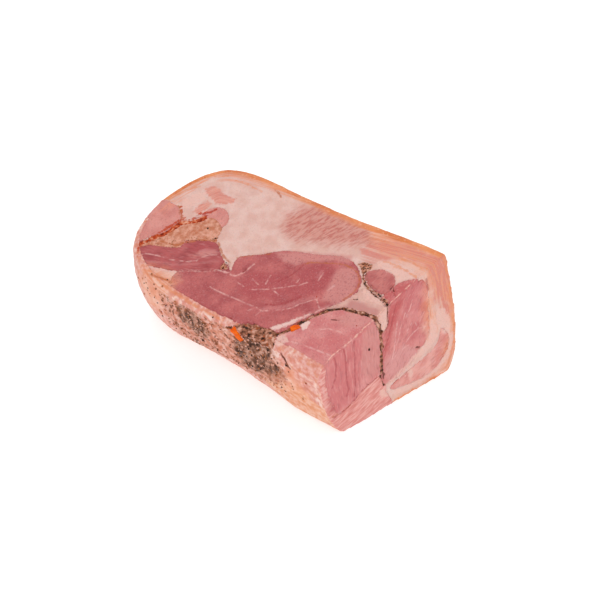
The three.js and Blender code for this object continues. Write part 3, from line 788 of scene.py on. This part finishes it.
def new_finish(name, roughness, glow=0.15):
    """Starts the net of a moist finish: light enters a little, so light beside a shadow is warm."""
    global net
    finish = bpy.data.materials.new(name)
    finish.use_nodes = True
    net = finish.node_tree
    shared_noise.clear()
    set_sockets(net.nodes[SHADER], {
        "Roughness": roughness, "Specular IOR Level": 0.12, "Subsurface Weight": glow,
        "Subsurface Radius": (1.0, 0.4, 0.25), "Subsurface Scale": MM})
    return finish


def finish_off(colour, height, depth):
    """Joins a colour, and a height with its depth in millimetres, to the shader."""
    shader = net.nodes[SHADER]
    net.links.new(colour, shader.inputs["Base Color"])
    bump = add("Bump", {"Height": height, "Distance": depth * MM, "Strength": 1.0})
    net.links.new(bump.outputs["Normal"], shader.inputs["Normal"])


# %% [markdown]
# ## Marks on every finish
#
# Any piece may show any mark, because seams and veins cross from one to the next. So one function lays
# the marks over each finish, from the widest and softest to the narrowest and darkest.

# %% Marks over a finish
def crumb_colour():
    """Cracked pepper, herbs and ground meat, nearly black to pinkish tan."""
    return tones(noise(1.1, detail=3), (0.34, 52, 30, 20), (0.43, 124, 74, 48), (0.52, 186, 122, 92),
                 (0.64, 216, 160, 138))


def seam_beads():
    """Rubbed spice in a seam: black, brown and rusty beads with tan between."""
    return tones(noise(2.3, detail=4), (0.4, 32, 18, 12), (0.5, 84, 44, 26), (0.6, 134, 74, 44),
                 (0.7, 186, 112, 76))


def amber_bits():
    """Mask of small orange bits in the filling."""
    return step(noise(1.9), 0.58, 0.66)


DEEP = (176, 84, 88)
PALE = (208, 144, 138)


def with_marks(colour, deep=DEEP, pale=PALE):
    """A colour with all drawn marks over it: kind, colour, edge, wander, noise size, strength, where."""
    scales = step(grain((0.36, 0.93, 0.34), 1.3, 3.5), 0.4, 0.62)
    layers = wall_layers(1.3)
    tan = tones(layers, (0.36, 220, 138, 100), (0.5, 232, 164, 134), (0.66, 240, 196, 174))
    salmon = tones(layers, (0.4, 210, 128, 112), (0.62, 226, 160, 142))
    uneven = step(noise(3), 0.34, 0.58)
    for kind, over, edge, wander, size, strength, *where in (
        ("mottle", (206, 140, 126), 5, 2, 8, 0.75),
        ("mottle", (186, 102, 92), 5, 2, 8, 0.75, scales),
        ("tan", tan, 5, 2.5, 5, 0.85),
        ("smoky", (226, 150, 122), 3, 2, 5, 0.7, step(layers, 0.48, 0.6)),
        ("pale", pale, 1.6, 1, 5, 0.75),
        ("deep", deep, 2.2, 1.5, 5, 0.7),
        ("salmon", salmon, 0.8, 1.2, 2, 0.85),
        ("streaky", (208, 114, 100), 2.5, 2, 5, 0.75, step(layers, 0.4, 0.56)),
        ("fat", (230, 190, 178), 0.8, 1.3, 2, 0.85),
        ("white", (240, 214, 204), 0.5, 1.1, 2, 0.8),
        ("sheen", (206, 140, 138), 0.8, 0.6, 2, 0.35),
        ("amber", (222, 140, 96), 0.6, 0.9, 2, 0.65),
        ("stain", (188, 68, 22), 0.5, 1.5, 2, 0.9),
        ("rust", (186, 106, 66), 0.4, 0.6, 2, 0.8),
        ("redline", (164, 66, 70), 0.6, 0.3, 2, 0.75),
        ("vein", (228, 180, 174), 0.4, 0.25, 2, 0.75, uneven),
        ("paste", crumb_colour(), 0.35, 0.7, 2, 1),
        ("seam", seam_beads(), 0.35, 0.9, 2, 0.95),
        # Painted shade: dark brown inside the slits and pits, which are carved only a little.
        ("dark", (96, 48, 34), 0.2, 0.4, 2, 0.9),
        # Painted highlight: a pale line along the edge where the two cuts meet.
        ("crease", (242, 196, 178), 0.2, 0.3, 2, 0.8, uneven),
    ):
        mask = mark_mask(kind, edge, wander, size)
        for limit in where:
            mask = part(mask, limit)
        colour = blend(colour, over, mask, strength)
    return colour


print("noise lumps of 2 mm are", 1000 / 2, "to the metre")

# %% [markdown]
# ## All the pieces
#
# Every piece is grown the same way. Muscles and layers that show get a fine grain, the big belly a
# coarser one, because its marks are soft and most of it lies on the far side.

# %% Grow all the pieces
lean = flesh(0.35, 0.1)
fat = flesh(0.3, 0.05)
plans = (
    (0.5, lean, "left_strip_muscle", "large_muscle", "corner_muscle", "oval_muscle", "end_muscle",
     "upper_left_muscle", "light_muscle"),
    (0.6, lean, "far_lean_layer"),
    (0.5, fat, "fat_wedge", "spiced_fat_layer"),
    (0.6, skin, "near_belly_wrap"),
    (0.75, skin, "far_belly_wrap"),
    (0.5, crumbly, "spice_filling"),
    (0.4, crumbly, "paprika_seam"),
    (0.3, carrot_side, "carrot_baton_side", "carrot_baton_seam"),
)
pieces = {node: grow(node, size, relief) for size, relief, *nodes in plans for node in nodes}


def dress(finish, slot, *nodes):
    """Gives pieces their finish. The slot, what stuff they are of, is not used."""
    for node in nodes:
        pieces[node].data.materials.append(finish)


print("faces in all:", sum(len(piece.data.polygons) for piece in pieces.values()))

# %% [markdown]
# ## Lean meat
#
# Cured and cooked lean is pink, darker where the muscle is dense and paler where fat runs through it.
# Three things make it look like meat, not plastic: slow changes of tone, the fine grain of the fibres,
# and pale flecks of marbling drawn out along them. A weak bump follows the same fibres.

# %% Lean meat
def lean_finish(name, dark, light, along, stretch=3, flecks=0.2, deep=DEEP, pale=PALE):
    """Lean with two tones, its fibres along a direction."""
    finish = new_finish(name, 0.5)
    colour = tones(noise(8, detail=4), (0.36, *dark), (0.64, *light))
    colour = with_marks(colour, deep, pale)
    fibres = grain(along, 1.0, stretch, 3)
    shadow = tuple(c * 0.84 for c in dark)
    colour = blend(colour, shadow, step(fibres, 0.48, 0.32), 0.4)
    specks = grain(along, 0.75, 1.4 * stretch, 2)
    colour = blend(colour, (226, 174, 168), step(specks, 0.54, 0.7), flecks)
    finish_off(colour, fibres, 0.25)
    return finish


ACROSS_TOP = (0.1, 0.3, 1)
UP_END = (0, -0.1, 1)
dress(lean_finish("dark lean", (172, 88, 90), (194, 110, 108), ACROSS_TOP), "lean", "large_muscle")
dress(lean_finish("strip lean", (164, 80, 82), (184, 98, 98), (0.9, 0.3, 0.1), 5),
      "lean", "left_strip_muscle")
dress(lean_finish("corner lean", (202, 120, 120), (217, 148, 144), UP_END, 7, 0.35, (203, 118, 118)),
      "lean", "corner_muscle")
dress(lean_finish("oval lean", (182, 102, 100), (202, 128, 122), (0.2, 1, 0.2)), "lean", "oval_muscle")
dress(lean_finish("end lean", (198, 114, 114), (214, 142, 138), (0.2, 0.5, 1), 3, 0.3, (190, 88, 88),
                  (214, 156, 152)), "lean", "end_muscle")
dress(lean_finish("pale lean", (204, 132, 124), (218, 152, 142), ACROSS_TOP, deep=(190, 104, 102)),
      "pale_lean", "upper_left_muscle", "light_muscle")
dress(lean_finish("far lean", (210, 136, 128), (228, 170, 160), (0.2, 1, 0.5), 4, 0.45),
      "pale_lean", "far_lean_layer")
print("lean finishes done")

# %% [markdown]
# ## Fat and rind
#
# Cooked fat is cream with a faint pink cloud in it. Towards the rind it takes up smoke: first a warm
# tan, then the orange-brown rind itself. The kept distance to the outer wall paints those layers. Fed
# into noise, it draws the thin streaks that run round the joint just inside the wall.

# %% Fat and rind
def rind_colour():
    """Orange-tan of the rind: slow clouds of smoke, faint wrinkles along it and small pale pores."""
    smoke = tones(noise(16, detail=5), (0.36, 210, 118, 66), (0.64, 228, 148, 98))
    wrinkles = step(grain((1, 0, 0.1), 2.4, 4, 5), 0.46, 0.3)
    smoke = blend(smoke, (194, 98, 52), wrinkles, 0.5)
    return blend(smoke, (240, 184, 146), step(noise(1.6, detail=3), 0.56, 0.7), 0.5)


def fat_finish(name, cream, pink, rind=False, pale=PALE, clouds=7):
    """Fat with two tones in clouds of a size, and smoke and rind towards the wall if it has them."""
    finish = new_finish(name, 0.45)
    colour = tones(noise(clouds, detail=5), (0.38, *pink), (0.6, *cream))
    if clouds < 4:
        colour = blend(colour, (176, 104, 68), amber_bits(), 0.35)
    layers = wall_layers()
    if rind:
        smoked = tones(layers, (0.38, 224, 142, 104), (0.52, 226, 162, 134), (0.64, 230, 186, 166))
        colour = blend(colour, smoked, mark_mask("rim", 11, 2, 8), 0.85)
    colour = with_marks(colour, pale=pale)
    shadow = tuple(c * 0.93 for c in pink)
    colour = blend(colour, shadow, step(noise(0.8, detail=3), 0.48, 0.33), 0.4)
    if rind:
        shake = part(maths("SUBTRACT", layers, 0.5), 7)
        thinner = part(step(kept_distance("cut_end"), 1, -1), 2.2)
        shaken = maths("ADD", maths("ADD", kept_distance("rim"), shake), thinner)
        colour = blend(colour, rind_colour(), step(shaken, 6, 3))
    finish_off(colour, noise(1.6, detail=3), 0.3)
    return finish


dress(fat_finish("belly fat and rind", (226, 194, 184), (218, 178, 166), True), "belly", "far_belly_wrap")
dress(fat_finish("wedge fat", (220, 180, 168), (208, 158, 146), pale=(192, 128, 124)), "fat", "fat_wedge")
dress(fat_finish("spiced fat", (222, 166, 144), (192, 122, 92), clouds=3), "spiced_fat", "spiced_fat_layer")
print("fat and rind done")

# %% [markdown]
# ## The rolled side and its filling
#
# The near side is pink meat and pale membrane with diagonal fibres, and rind shows only low down. Where
# the filling breaks through, ground meat, fat, pepper and herbs change from pinkish tan to nearly black
# within a millimetre or two. Crust and side share one finish, because in the real joint no line parts
# them: a wide freckled zone fades into two dense patches of spice.

# %% The rolled side and its filling
def side_finish(name, seam):
    """Side meat with freckles and spice. The cuts show plain meat, or dense spice in a seam."""
    finish = new_finish(name, 0.5, 0.1)
    patchy = noise(2.8, detail=6)
    colour = tones(patchy, (0.36, 212, 138, 118), (0.47, 222, 160, 146), (0.56, 228, 178, 166),
                   (0.66, 240, 206, 192))
    fibres = grain((1, 0, -0.45), 1.3, 5, 3)
    colour = blend(colour, (206, 132, 118), step(fibres, 0.48, 0.34), 0.5)
    colour = with_marks(colour)
    outside = step(kept_distance("flank"), 1, -1)
    if not seam:
        outside = step(kept_distance("cut_end"), -1, 1)
    dots = noise(2.4, detail=5)
    amber = part(outside, step(noise(2.2, detail=4), 0.54, 0.64))
    colour = blend(colour, (216, 140, 98), amber, 0.45)
    freckled = mark_mask("freckle", 2.5, 3.5, 5)
    clotted = part(freckled, step(noise(5, detail=3), 0.42, 0.56))
    tinted = tones(patchy, (0.4, 192, 122, 92), (0.5, 212, 150, 126), (0.62, 226, 176, 160))
    colour = blend(colour, tinted, freckled, 0.7)
    colour = blend(colour, (120, 72, 48), part(clotted, step(dots, 0.49, 0.42)), 0.85)
    heaps = tones(noise(3.4, detail=6), (0.38, 54, 36, 28), (0.46, 104, 70, 54), (0.54, 150, 108, 88),
                  (0.64, 200, 156, 138))
    colour = blend(colour, heaps, mark_mask("spice", 2, 4, 5), 0.9)
    smooth_tan = tones(noise(2.4, detail=5), (0.36, 222, 148, 104), (0.5, 232, 172, 138),
                       (0.64, 238, 196, 172))
    colour = blend(colour, smooth_tan, mark_mask("rind", 2.5, 3, 5), 0.85)
    low = add("SeparateXYZ", {0: place()}).outputs["Z"]
    low = maths("SUBTRACT", low, part(noise(9, detail=3), 12 * MM))
    colour = blend(colour, smooth_tan, part(step(low, MM, -5 * MM), outside), 0.7)
    if seam:
        tissue = tones(dots, (0.38, 48, 28, 20), (0.46, 120, 74, 54), (0.55, 176, 120, 96),
                       (0.66, 218, 172, 154))
        tissue = blend(tissue, (190, 96, 48), amber_bits(), 0.6)
        tissue = blend(tissue, seam_beads(), mark_mask("seam", 0.35, 0.5, 2))
        colour = blend(tissue, colour, outside)
    else:
        meat = tones(grain((0, 1, 0.35), 1.2, 6, 4), (0.34, 208, 128, 120), (0.5, 221, 152, 144),
                     (0.64, 230, 176, 166))
        colour = blend(with_marks(meat), colour, outside)
    finish_off(colour, dots, 0.35)
    return finish


paprika = new_finish("paprika seam", 0.5, 0.1)
flakes = noise(2.2, detail=4)
colour = tones(flakes, (0.36, 116, 36, 14), (0.45, 178, 60, 20), (0.56, 200, 100, 58),
               (0.66, 222, 162, 134))
finish_off(colour, flakes, 0.4)

carrot = new_finish("carrot", 0.4)
strands = grain((1, 0, 0), 0.8, 4)
colour = tones(strands, (0.35, 222, 82, 2), (0.65, 242, 112, 8))
finish_off(colour, strands, 0.15)
dress(side_finish("rolled side", False), "belly", "near_belly_wrap")
dress(side_finish("spice filling", True), "spice", "spice_filling")
dress(paprika, "paprika", "paprika_seam")
dress(carrot, "carrot", "carrot_baton_side", "carrot_baton_seam")
print("side and filling done")

# %% [markdown]
# ## Pepper, herbs and crumbs
#
# Cracked peppercorns and herb flakes are things of their own, so they are small meshes, not paint. Each
# bit is a coarse ball of twelve corners, knocked out of shape and laid half into the meat. The big ones
# have set places. The small ones are drawn by lot, with a fixed seed, where the filling shows.

# %% Pepper, herbs and crumbs
PEPPER = np.reshape([
    -42.5, -8.3, 58.9, 0.58, -40.8, -15.7, 56.2, 0.48, -33.7, -11.3, 57.8, 0.48, -53.9, -45.8, 37.7, 0.42,
    -37.7, -43.2, 46.1, 0.37, -21.6, -49.1, 39.5, 0.58, -17.5, -48.1, 31.6, 0.53, -11.7, -44.2, 20.5, 0.64,
    -28.4, -48.6, 37.1, 0.42, 4.9, -45.9, 27.9, 0.37, 0.5, -47.3, 44, 0.42, 28.1, -44.9, 44.6, 0.48,
    21.6, -46.9, 42.2, 0.42, 19.9, -44.4, 45.6, 0.4, 56.1, -11.4, 57.8, 0.53, 75, -5.5, 54.4, 0.48,
    74.4, 2.1, 62.5, 0.69, 74.8, -12.5, 43.3, 0.74, 58.5, -3, 60.9, 0.42, 62.6, 5.9, 63.7, 0.42,
    67.9, 4.3, 63.5, 0.48, 70.2, 3.2, 63.1, 0.42, 24.2, -46.2, 35.5, 0.53, 30.2, -45.6, 41, 0.58,
    33.1, -45.2, 37.3, 0.58, 37.4, -45.2, 41.5, 0.48, 26.1, -45.4, 31.5, 0.48, 20.9, -43.9, 24.4, 0.42,
    28.8, -44, 25.6, 0.42, 49.1, -44.6, 37.5, 0.53, 50.8, -44.3, 34.4, 0.42, -15.7, -47, 26.7, 0.42,
    -14.9, -45.2, 22.1, 0.37, -19, -48.4, 34.4, 0.4, -21.2, -49, 36.1, 0.37, -3.3, -48.3, 34.7, 0.37,
    6.3, -48.2, 39.2, 0.37, -48.3, -47, 34.2, 0.32, -35.1, -43.8, 17.8, 0.34, -33.7, -12.6, 57.3, 0.27,
    -38.4, -14.8, 56.5, 0.27, -42.6, -17.4, 55.6, 0.27, -45.6, -20.5, 54.4, 0.27, -17.6, -19.7, 54.5, 0.37,
    -16.6, -22.9, 53.5, 0.37, 47.8, 14.5, 67.3, 0.42, 50.8, 14, 67.1, 0.37, 51.1, 11.4, 66.2, 0.37,
    76.8, -3.4, 26.8, 0.37, -41.9, -47.4, 31.1, 0.48, -41.6, -44.9, 21.1, 0.53, -36.7, -44.4, 19.4, 0.42,
    -34.2, -42.6, 15.6, 0.48, -49.7, -47, 36.8, 0.4, -43.5, -47.8, 34.5, 0.37, -30, -40.9, 12.8, 0.42,
    -22.3, -38.8, 10.3, 0.4, -34.3, -48.4, 33.6, 0.34, 11.4, -46.4, 31.2, 0.42, 16.3, -45.7, 28.8, 0.48,
    1, -47, 31.1, 0.42, 4.3, -44.2, 22.6, 0.42,
], (-1, 4)).tolist()
REDDISH = np.reshape([
    69.4, -15.1, 56.4, 0.4, 75.8, -13.3, 21.5, 0.42, 39.9, -12.1, 57.5, 0.37, 62, -44.1, 33.4, 0.53,
    -41.7, -45.9, 24.3, 0.58, 20.3, -45.9, 32.5, 0.32, 38.7, -40.5, 15.2, 0.34, 44.3, -42.6, 23.7, 0.32,
    13.3, -44.1, 45.7, 0.32, 9.7, -43.4, 46, 0.32,
], (-1, 4)).tolist()

import bmesh

draw_lots = np.random.default_rng(7)
ball = bmesh.new()
bmesh.ops.create_icosphere(ball, subdivisions=1, radius=1)
BALL_POINTS = np.array([v.co[:] for v in ball.verts])
BALL_FACES = np.array([[v.index for v in face.verts] for face in ball.faces])
ball.free()

carriers = [pieces[node].data for node in (
    "near_belly_wrap", "spice_filling", "spiced_fat_layer", "corner_muscle", "large_muscle",
    "far_belly_wrap", "fat_wedge", "end_muscle", "left_strip_muscle", "oval_muscle")]
surface_normals = np.concatenate([read_points(mesh, "normal") for mesh in carriers])
surface_tree = tree_of(np.concatenate([read_points(mesh) for mesh in carriers]) / MM)


def strew(name, spots, finish, flat=0.6):
    """Joined bits at spots (x, y, z, radius), squeezed and laid into the nearest surface."""
    corners = []
    faces = []
    for x, y, z, radius in spots:
        near, i, _ = surface_tree.find((x, y, z))
        up = Vector(surface_normals[i])
        side = up.orthogonal().normalized()
        turn = draw_lots.uniform(0, 2 * math.pi)
        along = side * math.cos(turn) + up.cross(side) * math.sin(turn)
        frame_of_bit = np.array([along, up.cross(along), up])
        knocks = draw_lots.uniform(0.75, 1.2, (12, 1))
        shape = BALL_POINTS * knocks * (radius * draw_lots.uniform(0.9, 1.4), radius, radius * flat)
        faces.append(BALL_FACES + 12 * len(corners))
        corners.append(shape @ frame_of_bit + np.array(near) + np.array(up) * radius * flat * 0.35)
    mesh = bpy.data.meshes.new(name)
    mesh.from_pydata((np.concatenate(corners) * MM).tolist(), [], np.concatenate(faces).tolist())
    mesh.materials.append(finish)
    piece = show(name, mesh)
    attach(piece, "root")
    print(name, len(spots))


def bit_finish(name, dark, light, roughness):
    """Plain speckled finish of a kind of bit."""
    finish = new_finish(name, roughness, 0)
    speckles = noise(0.9)
    finish_off(tones(speckles, (0.4, *dark), (0.62, *light)), speckles, 0.2)
    return finish


def lots(mesh_name, kind, limit, how_many, low, high):
    """Random spots with radii on a piece, where a mark's distance is under a limit."""
    mesh = pieces[mesh_name].data
    field = np.empty(len(mesh.vertices), np.float32)
    mesh.attributes[kind].data.foreach_get("value", field)
    picked = draw_lots.choice(np.flatnonzero(field < limit), how_many, replace=False)
    radii = draw_lots.uniform(low, high, how_many)
    points = (read_points(mesh)[picked] / MM).tolist()
    return [(*point, radius) for point, radius in zip(points, radii.tolist())]


black = bit_finish("black pepper", (32, 20, 14), (74, 46, 32), 0.7)
brown = bit_finish("brown spice", (122, 72, 44), (188, 124, 86), 0.7)
pale_crumb = bit_finish("pale crumb", (196, 140, 120), (220, 176, 158), 0.5)
red_flake = bit_finish("red flake", (132, 34, 16), (178, 60, 26), 0.6)
ground = lots("spice_filling", "spice", -0.5, 34, 0.25, 0.6)
ground += lots("near_belly_wrap", "freckle", 0, 14, 0.25, 0.5)
strew("pepper", PEPPER + ground, black)
strew("red_flakes", REDDISH, red_flake)
brown_bits = lots("spice_filling", "spice", 1, 130, 0.3, 0.75)
brown_bits += lots("near_belly_wrap", "freckle", 1, 110, 0.25, 0.65)
brown_bits += lots("spiced_fat_layer", "rust", 2.0, 40, 0.2, 0.4)
brown_bits += lots("near_belly_wrap", "tan", 1, 22, 0.3, 0.7)
strew("brown_spice", brown_bits, brown, 0.45)
pale_bits = lots("spice_filling", "spice", 0, 90, 0.4, 0.8)
pale_bits += lots("near_belly_wrap", "freckle", 0, 60, 0.3, 0.7)
strew("pale_crumbs", pale_bits, pale_crumb, 0.4)
